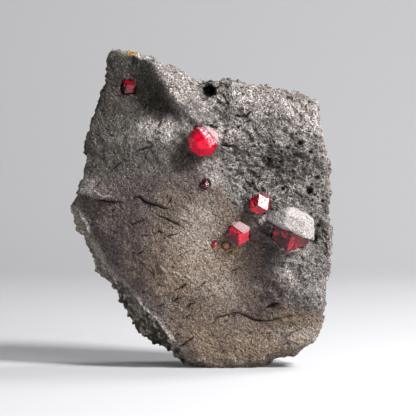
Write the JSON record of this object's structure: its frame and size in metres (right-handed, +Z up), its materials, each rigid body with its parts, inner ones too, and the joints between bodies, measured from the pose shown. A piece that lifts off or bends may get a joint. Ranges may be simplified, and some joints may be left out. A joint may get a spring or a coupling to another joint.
{
  "type": "garnet in matrix",
  "caption": "Upright hand specimen of grey fine-grained rock with red garnet crystals set in its front face, standing on a flat base.",
  "frame": {"origin": "middle of the whole specimen's footprint, on the surface that it stands on", "axes": "+Z up, along the slab's height; the crystals face -Y; +X to the right as seen from the front"},
  "size_m": [0.0652, 0.0348, 0.0797],
  "materials": {
    "matrix_rock": "matte",
    "garnet": "polished"
  },
  "bodies": {
    "root": {"matrix": "matrix_rock", "garnet_horn": "garnet", "garnet_large": "garnet", "garnet_small": "garnet", "garnet_bright": "garnet", "garnet_capped": "garnet", "garnet_hooded": "garnet", "garnet_tiny": "garnet", "garnet_buried": "garnet"}
  },
  "joints": []
}
